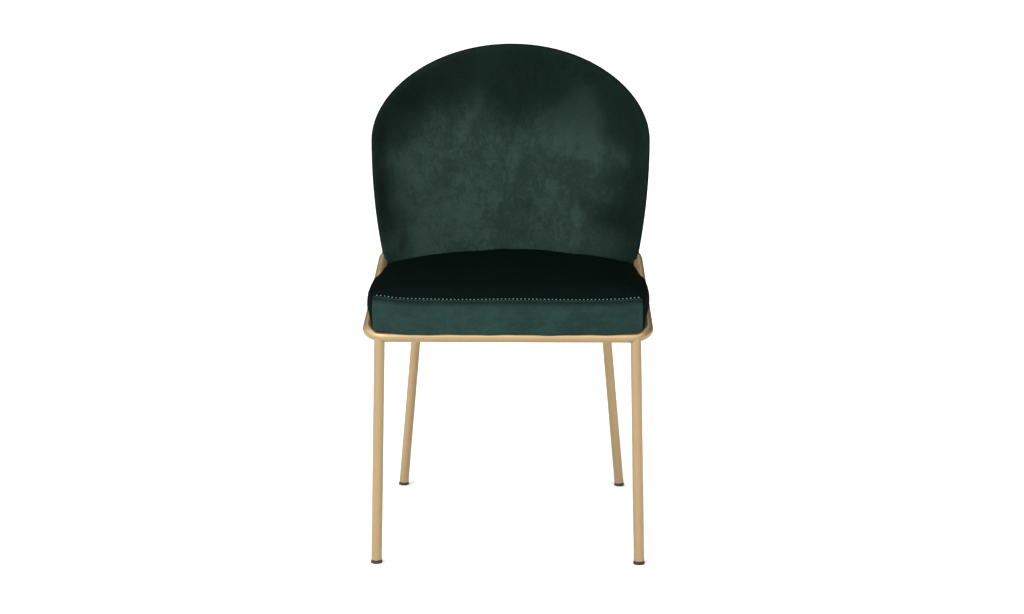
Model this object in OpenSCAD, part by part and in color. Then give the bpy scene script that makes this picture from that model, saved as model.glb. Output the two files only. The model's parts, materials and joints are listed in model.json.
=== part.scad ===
// Upholstered dining chair on a round-tube frame.
// Millimetres, +Z up, front of the chair towards -Y, origin on the floor under the middle of the chair.
// A closed tube ring carries everything: four legs are welded under it, the cushion sits across it on
// two flat bearers, and the curved back stands inside its rear bend, bolted to the seat board.

/* [Frame tube] */
// Outside diameter of the ring and leg tube
tube_d = 18; // [14:0.5:24]
// Wall thickness of the ring and leg tube
tube_wall = 1.5; // [1:0.1:2.5]
// Outside diameter of the rear cross rail
rail_d = 16; // [12:0.5:20]

/* [Ring] */
// Width of the ring over the tube centres
ring_w = 466.4; // [400:1:560]
// Depth of the ring over the tube centres, along its slope
ring_depth = 480; // [420:1:560]
// Height of the front bar's centre above the floor
ring_front_z = 391.6; // [340:1:440]
// Slope of the ring, rising to the rear
ring_tilt = 12.1; // [4:0.1:14]
// Bend radius at the two front corners
ring_front_r = 35; // [28:1:60]
// Bend radius at the two rear corners
ring_rear_r = 85; // [50:1:110]
// Half angle of the shallow arch across the ring's rear
ring_arch_angle = 38; // [28:1:50]
// Length of the straight between each rear bend and the arch
ring_rear_flat = 8; // [4:1:30]

/* [Legs] */
// How far each front leg's top stands in from the ring's side
front_leg_inset = 22; // [10:1:34]
// How far each front foot stands out from its leg's top
front_leg_splay = 11; // [0:1:40]
// How far each rear leg's top stands in from the ring's side
rear_leg_inset = 69; // [40:1:110]
// How far each rear foot stands out from its leg's top
rear_leg_splay = 46; // [0:1:70]
// How far each rear foot stands behind its leg's top
rear_leg_rake = 22; // [0:1:60]
// Height of the black foot caps
cap_h = 6; // [4:0.5:12]
// How far the cap's pad stands out round the tube
cap_lip = 0.8; // [0.5:0.1:3]
// Length of the cap's stem inside the tube
cap_stem = 16; // [10:1:30]

/* [Seat] */
// Clearance between the cushion and the ring at each side
seat_side_gap = 5; // [2:0.5:12]
// How far the cushion stands in front of the front bar's centre
seat_overhang = 10; // [9:0.5:14]
// Height of the cushion's edge above its board
seat_edge_h = 39; // [30:1:70]
// Rise of the crown from the cushion's corners to its middle
seat_crown = 15; // [6:1:30]
// Thickness of the seat's wadding at the cushion's edge
wadding_edge_t = 10; // [6:1:14]
// Thickness of the plywood seat board
board_t = 12; // [9:1:18]
// Drop of the fabric skirt below the board
skirt_drop = 7; // [1:1:9]
// Thickness of the velvet with its backing
fabric_t = 1.5; // [1:0.1:2.5]
// Thickness of the dust cover cloth
dust_t = 0.6; // [0.4:0.1:1.2]

/* [Under-seat steel] */
// Width of the flat bearers and brackets
flat_w = 25; // [20:1:40]
// Thickness of the flat bearers and brackets
flat_t = 4; // [3:0.5:6]
// Distance between the two bearers' centres
bearer_spacing = 210; // [170:1:260]
// Distance between the two back brackets' centres
bracket_spacing = 120; // [90:1:140]
// Height of the back brackets above the bearers
bracket_h = 44; // [36:1:54]

/* [Back] */
// Width of the back at its widest
back_w = 500; // [400:1:600]
// Height of the widest level above the ring
back_wide_rise = 205; // [140:1:280]
// Height of the domed top above the widest level
back_dome_h = 164; // [100:1:240]
// Radius of the lower side edges, seen from the front
back_side_r = 1200; // [900:10:2400]
// Radius of the front face in plan
back_front_r = 305; // [280:1:400]
// How much tighter the plywood's curve is than the front face's
ply_tighter = 12; // [0:1:20]
// Lean of the back from upright
back_rake = 9; // [3:0.5:14]
// Clearance between the back and the ring's rear bend
ring_back_gap = 4; // [2:0.5:12]
// Thickness of the front foam at its middle
back_foam_t = 20; // [14:1:30]
// Thickness of the plywood
ply_t = 9; // [6:0.5:12]
// Thickness of the wadding behind the plywood
wadding_t = 5; // [3:0.5:8]
// Width of the piping round the edge
welt_w = 4; // [3:0.5:6]

/* [Fixings] */
// Diameter of the machine screws
screw_d = 6; // [5:0.5:8]
// Diameter of the screw heads
screw_head_d = 10.5; // [9:0.5:13]
// Height of the screw heads
screw_head_h = 3.3; // [3:0.1:5]
// Outside diameter of the washers
washer_d = 14; // [13:0.5:18]
// Thickness of the washers
washer_t = 1.2; // [0.8:0.1:2]
// Outside diameter of the tee nuts' barrels
tee_barrel_d = 8; // [7.5:0.5:10]
// Diameter of the tee nuts' flanges
tee_flange_d = 17; // [15:1:21]
// Thickness of the tee nuts' flanges
tee_flange_t = 1.2; // [0.8:0.1:2]
// Spacing of the staples under the seat
staple_pitch = 60; // [40:1:90]

/* [Hidden] */
$fn = 96;

gap = 0.5;                 // clearance between pieces that don't touch each other
thread_gap = 0.1;          // clearance of a screw in its tee nut
hole_gap = 0.5;            // clearance of a screw in a plain hole, all round
weld_bed = 1;              // how deep a flat bar beds into a tube it is welded to
cut = 1;                   // how far a cutter passes beyond what it cuts
face_rise = 5;             // level at which the back's face is placed, above the cushion's side edge
shell_rise = 2;            // from the bearers up to the plywood back
foam_rise = 3;             // from the brackets up to the back's foam
screw_behind_front = 80;   // front pair of seat screws, behind the front bar
screw_ahead_of_rail = 110; // second pair, in front of the cross rail
screw_ahead_of_back = 50;  // bracket pair, in front of the back's face
screw_pair_half = 9.5;     // half the spacing of the two screws in a bracket's upright leg
left = -1;
right = 1;
sides = [left, right];

// Ring, in its own plane: u runs along X, v runs up the slope from the front bar's centre
tube_r = tube_d / 2;
ring_half = ring_w / 2;
arch_sin = sin(ring_arch_angle);
arch_cos = cos(ring_arch_angle);
corner_u = ring_half - ring_rear_r;
arch_r = ring_rear_r + (corner_u - ring_rear_flat * arch_cos) / arch_sin;
ring_bend_v = ring_depth - ring_rear_r * arch_cos - ring_rear_flat * arch_sin - arch_r * (1 - arch_cos);
function on_slope(u, v) = [u, v * cos(ring_tilt), ring_front_z + v * sin(ring_tilt)];
function arch_v(u) = ring_depth - arch_r + sqrt(arch_r * arch_r - u * u);
function front_corner_v(u) =
    ring_front_r - sqrt(ring_front_r * ring_front_r - pow(max(u - ring_half + ring_front_r, 0), 2));

// Legs, from the tube centre of the ring to the floor
front_top_u = ring_half - front_leg_inset;
rear_top_u = ring_half - rear_leg_inset;
function front_top(side) = on_slope(side * front_top_u, front_corner_v(front_top_u));
function rear_top(side) = on_slope(side * rear_top_u, arch_v(rear_top_u));
function foot(top, side, splay, rake) = [top[0] + side * splay, top[1] + rake, 0];
function front_foot(side) = foot(front_top(side), side, front_leg_splay, 0);
function rear_foot(side) = foot(rear_top(side), side, rear_leg_splay, rear_leg_rake);
function along(a, b, z) = a + (b - a) * (z - a[2]) / (b[2] - a[2]);

// Levels of the seat, from the tube up
rail_r = rail_d / 2;
bearer_z = ring_front_z + tube_r - weld_bed;
bearer_top = bearer_z + flat_t;
board_z = bearer_top + dust_t;
board_top = board_z + board_t;
edge_z = board_top + seat_edge_h;
rail_z = bearer_z + weld_bed - rail_r;
rail_y = along(rear_foot(right), rear_top(right), rail_z)[1];

// Back: two leaning cylinders, the front face's and the plywood's, set by the ring's rear bend
back_t = back_foam_t + ply_t + wadding_t + 2 * fabric_t;
ring_rear_point = on_slope(0, ring_depth);
face_z = edge_z + face_rise;
back_face_y = ring_rear_point[1] - tube_r - ring_back_gap - back_t / cos(back_rake)
    - (ring_rear_point[2] - face_z) * tan(back_rake);
face_axis_y = back_face_y - back_front_r / cos(back_rake);
ply_front_r = back_front_r - ply_tighter;
ply_axis_y = back_face_y + (fabric_t + back_foam_t - ply_front_r) / cos(back_rake);
ply_rear_r = ply_front_r + ply_t;
wadding_r = ply_rear_r + wadding_t;
back_rear_r = wadding_r + fabric_t;
back_bottom_z = bearer_top + shell_rise;
foam_bottom_z = bearer_top + bracket_h + foam_rise;

// Radius of an arch that rises this far over this half span
function arch_radius(half_span, rise) = (half_span * half_span + rise * rise) / (2 * rise);

// Seat outline: straight front and sides, rear edge parallel to the back's face
seat_half = ring_half - tube_r - seat_side_gap;
skirt_run = back_face_y / 2;
crown_y = back_face_y / 2;
side_arch_lift = 2;
side_arch_r = arch_radius(seat_half, seat_crown + side_arch_lift);
front_arch_r = arch_radius(crown_y + seat_overhang, seat_crown);

// Levels of the back's outline: it passes inside the ring, then widens just above it
side_rear_y = ply_axis_y + sqrt(back_rear_r * back_rear_r - seat_half * seat_half) / cos(back_rake);
shoulder_z = ring_front_z + side_rear_y * tan(ring_tilt) + tube_r / cos(ring_tilt) + 2 * gap;
back_wide_z = shoulder_z + back_wide_rise;
back_top_z = back_wide_z + back_dome_h;
tall = 2 * back_top_z;

// Overall depth, which places the origin
front_y = -max(seat_overhang, tube_r);
rear_y = ply_axis_y + back_rear_r / cos(back_rake) + (back_top_z - face_z) * tan(back_rake);
middle_y = (front_y + rear_y) / 2;

// Fixing points under the seat
bearer_x = bearer_spacing / 2;
bracket_x = bracket_spacing / 2;
bearer_screw_y = [screw_behind_front, rail_y - screw_ahead_of_rail];
bracket_screw_y = back_face_y - screw_ahead_of_back;
seat_fixings = [for (s = sides) each [
    [s * bearer_x, bearer_screw_y[0]], [s * bearer_x, bearer_screw_y[1]], [s * bracket_x, bracket_screw_y]]];
bracket_angle = asin(bracket_x / ply_front_r);
bracket_screw_rise = [bracket_h / 2 - screw_pair_half, bracket_h / 2 + screw_pair_half];

module from_origin() {
    translate([0, -middle_y, 0]) children();
}

// ---- frame ----

// Tube along a circular bend, centred on the bend's centre
module bend(r, start, sweep, section_r) {
    rotate([0, 0, start])
        rotate_extrude(angle = sweep)
            translate([r, 0]) circle(r = section_r);
}

// Round bar from point a to point b
module bar(a, b, r, spin = 0) {
    d = b - a;
    translate(a)
        rotate([0, acos(d[2] / norm(d)), atan2(d[1], d[0])])
            rotate([0, 0, spin]) cylinder(r = r, h = norm(d));
}

module on_ring() {
    translate([0, 0, ring_front_z]) rotate([ring_tilt, 0, 0]) children();
}

// Solid bar along the front half of the ring: front bar, front bends and both sides
module ring_front_bar(r) {
    on_ring()
        union() {
            bar([ring_front_r - ring_half, 0, 0], [ring_half - ring_front_r, 0, 0], r);
            for (s = sides) bar([s * ring_half, ring_front_r, 0], [s * ring_half, ring_bend_v, 0], r);
            translate([ring_half - ring_front_r, ring_front_r, 0]) bend(ring_front_r, -90, 90, r);
            translate([ring_front_r - ring_half, ring_front_r, 0]) bend(ring_front_r, 180, 90, r);
        }
}

// Rear bend and short straight at one side, drawn from the arch's end
module rear_corner(r) {
    translate([0, ring_depth - arch_r, 0])
        rotate([0, 0, 90 - ring_arch_angle])
            union() {
                bar([arch_r, -ring_rear_flat, 0], [arch_r, 0, 0], r);
                translate([arch_r - ring_rear_r, -ring_rear_flat, 0])
                    rotate_extrude(angle = ring_arch_angle - 90)
                        translate([ring_rear_r, 0]) circle(r = r);
            }
}

// Solid bar along the rear half of the ring: rear bends, short straights and the arch
module ring_rear_bar(r) {
    on_ring()
        union() {
            rear_corner(r);
            mirror([1, 0, 0]) rear_corner(r);
            translate([0, ring_depth - arch_r, 0])
                bend(arch_r, 90 - ring_arch_angle, 2 * ring_arch_angle, r);
        }
}

module ring_front() {
    color("tan") from_origin()
        difference() {
            ring_front_bar(tube_r);
            ring_front_bar(tube_r - tube_wall);
        }
}

module ring_rear() {
    color("tan") from_origin()
        difference() {
            ring_rear_bar(tube_r);
            ring_rear_bar(tube_r - tube_wall);
        }
}

// Leg tube, coped to the ring above it and ending square on its foot cap
module leg(foot, top) {
    difference() {
        bar(along(foot, top, cap_h), top, tube_r);
        bar(foot, top, tube_r - tube_wall);
        children();
    }
}

module front_leg(side) {
    color("tan") from_origin() leg(front_foot(side), front_top(side)) ring_front_bar(tube_r);
}

module rear_leg(side) {
    color("tan") from_origin() leg(rear_foot(side), rear_top(side)) ring_rear_bar(tube_r);
}

module front_leg_left() { front_leg(left); }
module front_leg_right() { front_leg(right); }
module rear_leg_left() { rear_leg(left); }
module rear_leg_right() { rear_leg(right); }

// Moulded cap: a level pad, a collar in line with the tube and a stem that plugs it
module foot_cap(foot, top) {
    pad_h = cap_h / 2;
    in_pad = along(foot, top, pad_h / 2);
    collar_top = along(foot, top, cap_h);
    stem_top = along(foot, top, cap_h + cap_stem);
    quarter_turn = 90;
    color([0.07, 0.07, 0.07]) from_origin()
        union() {
            translate([in_pad[0], in_pad[1], 0]) cylinder(r = tube_r + cap_lip, h = pad_h);
            bar(in_pad, collar_top, tube_r, quarter_turn);
            bar(along(foot, top, pad_h), stem_top, tube_r - tube_wall - thread_gap, quarter_turn);
        }
}

module foot_cap_front_left() { foot_cap(front_foot(left), front_top(left)); }
module foot_cap_front_right() { foot_cap(front_foot(right), front_top(right)); }
module foot_cap_rear_left() { foot_cap(rear_foot(left), rear_top(left)); }
module foot_cap_rear_right() { foot_cap(rear_foot(right), rear_top(right)); }

module rail_bar(r) {
    reach = along(rear_foot(right), rear_top(right), rail_z)[0];
    bar([-reach, rail_y, rail_z], [reach, rail_y, rail_z], r);
}

// Rail between the rear legs, coped to both
module rear_cross_rail() {
    color("tan") from_origin()
        difference() {
            rail_bar(rail_r);
            rail_bar(rail_r - tube_wall);
            for (s = sides) bar(rear_foot(s), rear_top(s), tube_r);
        }
}

module screw_hole(p, d) {
    translate([p[0], p[1], bearer_z - cut]) cylinder(d = d, h = board_top - bearer_z + 2 * cut);
}

// Flat bar bedded on the front bar and on the cross rail
module seat_bearer(side) {
    color("dimgray") from_origin()
        difference() {
            translate([side * bearer_x - flat_w / 2, 0, bearer_z]) cube([flat_w, rail_y, flat_t]);
            ring_front_bar(tube_r);
            rail_bar(rail_r);
            for (p = seat_fixings) screw_hole(p, screw_d + 2 * hole_gap);
        }
}

module seat_bearer_left() { seat_bearer(left); }
module seat_bearer_right() { seat_bearer(right); }

// ---- seat ----

// Cylinder whose axis leans with the back, through (0, axis_y, face_z)
module leaning_cylinder(axis_y, r) {
    translate([0, axis_y, face_z])
        rotate([-back_rake, 0, 0])
            translate([0, 0, -tall / 2]) cylinder(r = r, h = tall);
}

// Upright block with the seat's outline, drawn in by a margin all round
module seat_block(margin, bottom, top) {
    half = seat_half - margin;
    intersection() {
        translate([-half, margin - seat_overhang, bottom])
            cube([2 * half, back_face_y + seat_overhang, top - bottom]);
        leaning_cylinder(face_axis_y, back_front_r - gap - margin);
    }
}

// Two long shallow arches crossed: front to back, and a slightly higher one side to side
module crown(drop) {
    intersection() {
        translate([0, crown_y, edge_z + seat_crown + side_arch_lift - side_arch_r])
            rotate([90, 0, 0]) cylinder(r = side_arch_r - drop, h = 2 * ring_depth, center = true, $fn = 720);
        translate([0, crown_y, edge_z + seat_crown - front_arch_r])
            rotate([0, 90, 0]) cylinder(r = front_arch_r - drop, h = 2 * ring_depth, center = true, $fn = 720);
    }
}

module seat_tee_pockets() {
    for (p = seat_fixings)
        translate([p[0], p[1], board_top - cut]) cylinder(d = tee_flange_d, h = cut + tee_flange_t);
}

module seat_board() {
    color("burlywood") from_origin()
        difference() {
            seat_block(fabric_t, board_z, board_top);
            for (p = seat_fixings) screw_hole(p, tee_barrel_d);
            staples();
        }
}

// Barrel and flange of one tee nut, flange on top, barrel down from z = 0
module tee_nut(barrel_h) {
    difference() {
        union() {
            cylinder(d = tee_flange_d, h = tee_flange_t);
            translate([0, 0, -barrel_h]) cylinder(d = tee_barrel_d, h = barrel_h);
        }
        translate([0, 0, -barrel_h - cut])
            cylinder(d = screw_d + 2 * thread_gap, h = barrel_h + tee_flange_t + 2 * cut);
    }
}

// Button-head screw, head down, its shank rising from z = 0
module screw(length) {
    translate([0, 0, -screw_head_h])
        difference() {
            cylinder(d = screw_head_d, h = screw_head_h);
            translate([0, 0, -cut]) cylinder(d = screw_d / 1.5, h = cut + screw_head_h / 2, $fn = 6);
        }
    cylinder(d = screw_d, h = length);
}

module seat_tee_nuts() {
    color("silver") from_origin()
        for (p = seat_fixings) translate([p[0], p[1], board_top]) tee_nut(board_t - 2);
}

module seat_screws() {
    color("silver") from_origin()
        for (p = seat_fixings)
            translate([p[0], p[1], bearer_z - washer_t]) screw(washer_t + flat_t + dust_t + board_t - 1);
}

module seat_washers() {
    color("silver") from_origin()
        for (p = seat_fixings)
            translate([p[0], p[1], bearer_z - washer_t])
                difference() {
                    cylinder(d = washer_d, h = washer_t);
                    translate([0, 0, -cut]) cylinder(d = screw_d + hole_gap, h = washer_t + 2 * cut);
                }
}

// Firm foam, flat on top, with pockets over the tee nuts
module seat_foam() {
    color("khaki") from_origin()
        difference() {
            seat_block(fabric_t, board_top, edge_z - wadding_edge_t);
            seat_tee_pockets();
        }
}

module seat_wadding() {
    color("white") from_origin()
        intersection() {
            seat_block(fabric_t, edge_z - wadding_edge_t, edge_z + seat_crown);
            crown(fabric_t);
        }
}

module seat_top_cover() {
    color("darkslategray") from_origin()
        difference() {
            intersection() {
                seat_block(0, edge_z - wadding_edge_t, edge_z + seat_crown);
                crown(0);
            }
            crown(fabric_t);
        }
}

// Band round the cushion: full height behind, with a skirt below the board at the front and sides
module seat_boxing_cover() {
    color("darkslategray") from_origin()
        difference() {
            union() {
                intersection() {
                    seat_block(0, board_z, edge_z + seat_crown);
                    crown(fabric_t);
                }
                intersection() {
                    seat_block(0, board_z - skirt_drop, board_z);
                    translate([-ring_w, -ring_w, 0]) cube([2 * ring_w, ring_w + skirt_run, 2 * board_z]);
                }
            }
            seat_block(fabric_t, board_z - 2 * skirt_drop, edge_z + 2 * seat_crown);
            ring_front_bar(tube_r + gap);
        }
}

module dust_cover() {
    color([0.1, 0.1, 0.1]) from_origin()
        difference() {
            seat_block(fabric_t, bearer_top, board_z);
            for (p = seat_fixings) screw_hole(p, screw_d + 2 * hole_gap);
            staples();
        }
}

// Staple rows along both sides and the front, crowns under the dust cover, legs up into the board
staple_w = 10;
staple_wire = 1;
staple_leg = 6;
staple_inset = 14;
side_count = floor((skirt_run - ring_front_r) / staple_pitch);
front_count = floor((bearer_spacing - flat_w - 3 * staple_w) / staple_pitch);

module staple() {
    translate([-staple_w / 2, -staple_wire / 2, -staple_wire]) cube([staple_w, staple_wire, staple_wire]);
    for (s = sides)
        translate([s * (staple_w - staple_wire) / 2 - staple_wire / 2, -staple_wire / 2, -staple_wire])
            cube([staple_wire, staple_wire, staple_wire + staple_leg]);
}

module staples() {
    for (s = sides, i = [0 : side_count])
        translate([s * (seat_half - staple_inset), ring_front_r + i * staple_pitch, bearer_top])
            rotate([0, 0, 90]) staple();
    for (i = [0 : front_count])
        translate([(i - front_count / 2) * staple_pitch, tube_r + staple_inset, bearer_top]) staple();
}

module dust_cover_staples() {
    color("silver") from_origin() staples();
}

// ---- back ----

// Half width of the back at height z: a half ellipse above the widest level, a long arc below it
function dome_point(t, inset) =
    [(back_w / 2 - inset) * cos(t), back_wide_z + (back_dome_h - inset) * sin(t)];
function side_point(z, inset) =
    [back_w / 2 - inset - pow(back_wide_z - z, 2) / (2 * back_side_r), z];
side_steps = 8;
dome_steps = 40;

module back_outline(inset, bottom) {
    shoulder = shoulder_z + inset;
    right_side = [for (i = [0 : side_steps - 1])
        side_point(shoulder + (back_wide_z - shoulder) * i / side_steps, inset)];
    dome = [for (i = [0 : dome_steps]) dome_point(180 * i / dome_steps, inset)];
    left_side = [for (i = [side_steps - 1 : -1 : 0]) [-right_side[i][0], right_side[i][1]]];
    tongue = [[-seat_half, shoulder], [-seat_half, bottom], [seat_half, bottom], [seat_half, shoulder]];
    polygon(concat(bottom < shoulder_z ? tongue : [], right_side, dome, left_side));
}

module back_prism(inset, bottom) {
    translate([0, tall, 0])
        rotate([90, 0, 0])
            linear_extrude(height = 2 * tall) back_outline(inset, bottom);
}

// Rear half of a leaning tube between two radii
module back_layer(inner, outer, inset, bottom) {
    difference() {
        intersection() {
            leaning_cylinder(ply_axis_y, outer);
            back_prism(inset, bottom);
            rear_half();
        }
        leaning_cylinder(ply_axis_y, inner);
        ring_rear_bar(tube_r + gap);
    }
}

module rear_half() {
    translate([-tall, ply_axis_y, 0]) cube([2 * tall, 2 * tall, 2 * tall]);
}

// Height of a bracket screw above the bearers, turned into a distance along the leaning axis
function ply_height(rise) =
    (bearer_top + rise - face_z + ply_front_r * cos(bracket_angle) * sin(back_rake)) / cos(back_rake);

// Places a fixing on the plywood's front face, its axis along the face's normal, pointing back
module on_ply(side, rise) {
    translate([0, ply_axis_y, face_z])
        rotate([-back_rake, 0, 0])
            rotate([0, 0, -side * bracket_angle])
                translate([0, ply_front_r, ply_height(rise)])
                    rotate([-90, 0, 0]) children();
}

module back_holes(d) {
    for (s = sides, rise = bracket_screw_rise)
        on_ply(s, rise) translate([0, 0, -3 * flat_t]) cylinder(d = d, h = 3 * flat_t + ply_t + cut);
}

module back_shell() {
    color("burlywood") from_origin()
        difference() {
            back_layer(ply_front_r, ply_rear_r, welt_w, back_bottom_z);
            back_holes(tee_barrel_d);
        }
}

// Moulded foam, thick in the middle and thin towards the side edges
module back_front_foam() {
    color("khaki") from_origin()
        intersection() {
            difference() {
                leaning_cylinder(ply_axis_y, ply_front_r);
                leaning_cylinder(face_axis_y, back_front_r + fabric_t);
            }
            back_prism(welt_w, foam_bottom_z);
            rear_half();
        }
}

module back_front_cover() {
    color("darkslategray") from_origin()
        intersection() {
            difference() {
                leaning_cylinder(face_axis_y, back_front_r + fabric_t);
                leaning_cylinder(face_axis_y, back_front_r);
            }
            back_prism(welt_w, foam_bottom_z);
            rear_half();
        }
}

module back_rear_wadding() {
    color("white") from_origin()
        difference() {
            back_layer(ply_rear_r, wadding_r, welt_w, back_bottom_z);
            for (s = sides, rise = bracket_screw_rise)
                on_ply(s, rise) cylinder(d = tee_flange_d + 2 * gap, h = ply_t + tee_flange_t + gap);
        }
}

module back_rear_cover() {
    color("darkslategray") from_origin() back_layer(wadding_r, back_rear_r, welt_w, back_bottom_z);
}

// Piping round the edge above the ring, lying against the ends of the plywood and the wadding
module back_edge_welt() {
    color([0.04, 0.09, 0.08]) from_origin()
        difference() {
            back_layer(ply_front_r + 1, ply_front_r + 1 + welt_w, 0, shoulder_z);
            back_prism(welt_w, shoulder_z - cut);
        }
}

// Steel angle: one leg under the seat board, the other rolled to lie on the plywood's face
module back_bracket(side) {
    color("dimgray") from_origin()
        difference() {
            intersection() {
                translate([side * bracket_x - flat_w / 2, bracket_screw_y - flat_w, bearer_z])
                    cube([flat_w, back_face_y, flat_t + bracket_h]);
                leaning_cylinder(ply_axis_y, ply_front_r);
            }
            intersection() {
                translate([side * bracket_x - flat_w, 0, bearer_top])
                    cube([2 * flat_w, 2 * back_face_y, 2 * bracket_h]);
                leaning_cylinder(ply_axis_y, ply_front_r - flat_t);
            }
            screw_hole([side * bracket_x, bracket_screw_y], screw_d + 2 * hole_gap);
            back_holes(screw_d + 2 * hole_gap);
        }
}

module back_bracket_left() { back_bracket(left); }
module back_bracket_right() { back_bracket(right); }

module back_screws() {
    color("silver") from_origin()
        for (s = sides, rise = bracket_screw_rise)
            on_ply(s, rise) translate([0, 0, -flat_t]) screw(flat_t + ply_t - 1);
}

module back_tee_nuts() {
    color("silver") from_origin()
        for (s = sides, rise = bracket_screw_rise)
            on_ply(s, rise) translate([0, 0, ply_t]) tee_nut(ply_t - 2);
}

ring_front();
ring_rear();
front_leg_left();
front_leg_right();
rear_leg_left();
rear_leg_right();
foot_cap_front_left();
foot_cap_front_right();
foot_cap_rear_left();
foot_cap_rear_right();
rear_cross_rail();
seat_bearer_left();
seat_bearer_right();
seat_board();
seat_tee_nuts();
seat_screws();
seat_washers();
seat_foam();
seat_wadding();
seat_top_cover();
seat_boxing_cover();
dust_cover();
dust_cover_staples();
back_shell();
back_front_foam();
back_front_cover();
back_rear_wadding();
back_rear_cover();
back_edge_welt();
back_bracket_left();
back_bracket_right();
back_screws();
back_tee_nuts();
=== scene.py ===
import json
import math

import bmesh
import bpy
import numpy as np
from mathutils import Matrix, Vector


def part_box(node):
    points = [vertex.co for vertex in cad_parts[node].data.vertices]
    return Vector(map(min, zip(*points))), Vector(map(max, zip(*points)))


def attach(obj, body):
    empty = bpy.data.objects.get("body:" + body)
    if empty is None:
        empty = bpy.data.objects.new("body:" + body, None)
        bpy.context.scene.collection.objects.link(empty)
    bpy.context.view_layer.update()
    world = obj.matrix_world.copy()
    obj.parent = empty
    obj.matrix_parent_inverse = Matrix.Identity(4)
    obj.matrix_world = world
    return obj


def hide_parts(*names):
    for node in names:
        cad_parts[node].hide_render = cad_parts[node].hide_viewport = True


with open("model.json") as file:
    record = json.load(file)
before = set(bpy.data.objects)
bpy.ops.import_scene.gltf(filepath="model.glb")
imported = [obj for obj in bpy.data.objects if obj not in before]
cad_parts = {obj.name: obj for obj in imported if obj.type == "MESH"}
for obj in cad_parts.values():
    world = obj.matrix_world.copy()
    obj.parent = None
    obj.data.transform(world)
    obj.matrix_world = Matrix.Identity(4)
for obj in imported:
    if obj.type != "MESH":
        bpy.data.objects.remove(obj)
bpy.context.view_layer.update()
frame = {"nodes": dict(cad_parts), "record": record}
print("frame loaded:", len(frame["nodes"]), "nodes")


def toLinear(hexColour):
    # sRGB hex to linear RGBA: each channel is value/12.92 in the darks, else ((value + 0.055) / 1.055) ^ 2.4
    srgb = np.array([int(hexColour[i:i + 2], 16) for i in (1, 3, 5)]) / 255
    linear = np.where(srgb <= 0.04045, srgb / 12.92, ((srgb + 0.055) / 1.055) ** 2.4)
    return (*linear, 1.0)


def addNode(tree, kind, settings=None, inputs=None):
    # settings go to the node itself; an input is a value, or a socket to link from
    node = tree.nodes.new(kind)
    for name, value in (settings or {}).items():
        setattr(node, name, value)
    for name, value in (inputs or {}).items():
        if isinstance(value, bpy.types.NodeSocket):
            tree.links.new(value, node.inputs[name])
        else:
            node.inputs[name].default_value = value
    return node


def smoothStep(value, start, end):
    # 0 before start, 1 after end, and 3t^2 - 2t^3 between them
    t = np.clip((value - start) / (end - start), 0, 1)
    return t * t * (3 - 2 * t)


def resample(points, count):
    # even steps along a polyline: its running length, then each coordinate interpolated on that length
    points = np.asarray(points, float)
    steps = np.linalg.norm(np.diff(points, axis=0), axis=1)
    run = np.concatenate([[0], np.cumsum(steps)])
    at = np.linspace(0, run[-1], count)
    return np.stack([np.interp(at, run, points[:, k]) for k in range(points.shape[1])], 1)


def closedLoop(sides, count):
    # four open sides, each in even steps, joined end to end
    return np.concatenate([resample(side, count)[:-1] for side in sides])


def mitreNormals(loop):
    # outward plan normal at each corner of a loop, long enough that an inset keeps its distance to both edges
    along = np.roll(loop, -1, axis=0) - loop
    after = np.stack([along[:, 1], -along[:, 0]], 1)
    after /= np.linalg.norm(after, axis=1)[:, None]
    before = np.roll(after, 1, axis=0)
    return (before + after) / (1 + (before * after).sum(1))[:, None]


def spreadIn(loop, centre, count, crowding):
    # fills a loop with a square grid: ring r of the square (0 middle, 1 edge) is the loop shrunk by r'
    # towards the centre, where r' = 1 - (1 - r)^crowding, so rings lie closer together near the edge
    s, t = np.meshgrid(np.linspace(-1, 1, count), np.linspace(-1, 1, count))
    ring = np.maximum(np.abs(s), np.abs(t))
    safe = np.where(ring == 0, 1, ring)
    u, v = s / safe, t / safe
    side = np.where(v <= -1 + 1e-9, 0, np.where(u >= 1 - 1e-9, 1, np.where(v >= 1 - 1e-9, 2, 3)))
    part = np.choose(side, [(u + 1) / 2, (v + 1) / 2, (1 - u) / 2, (1 - v) / 2])
    place = (side + part) * (len(loop) / 4)
    ends = np.concatenate([loop, loop[:1]])
    edge = np.stack([np.interp(place, np.arange(len(ends)), ends[:, k]) for k in (0, 1)], -1)
    shrink = 1 - (1 - ring) ** crowding
    return centre + shrink[..., None] * (edge - centre), shrink


def gridEdge(count):
    # indices of a square grid's edge, in the order of closedLoop
    i = np.arange(count - 1)
    return np.concatenate([i, i * count + count - 1, count * count - 1 - i, (count - 1 - i) * count])


def closedForm(name, top, walls, bottom, wallSides, materials):
    # top and bottom are square grids of points, walls the rows of loops between their edges; wallSides
    # gives the material of each column of the wall
    count = top.shape[0]
    around = 4 * (count - 1)
    points = np.concatenate([top.reshape(-1, 3), walls.reshape(-1, 3), bottom.reshape(-1, 3)])
    base = count * count
    i, j = np.meshgrid(np.arange(count - 1), np.arange(count - 1), indexing="ij")
    a = (i * count + j).ravel()
    flat = np.stack([a, a + 1, a + count + 1, a + count], 1)
    rows = [gridEdge(count)]
    rows += [base + k * around + np.arange(around) for k in range(len(walls))]
    rows.append(base + len(walls) * around + gridEdge(count))
    rows = np.array(rows)
    nextOne = np.roll(rows, -1, axis=1)
    sides = np.stack([rows[:-1], rows[1:], nextOne[1:], nextOne[:-1]], -1).reshape(-1, 4)
    faces = np.concatenate([flat, sides, flat[:, ::-1] + base + len(walls) * around])
    kinds = np.concatenate([np.zeros(len(flat)), np.tile(wallSides, len(rows) - 1), np.full(len(flat), 1)])
    return makeMesh(name, points, faces, materials, kinds)


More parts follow.
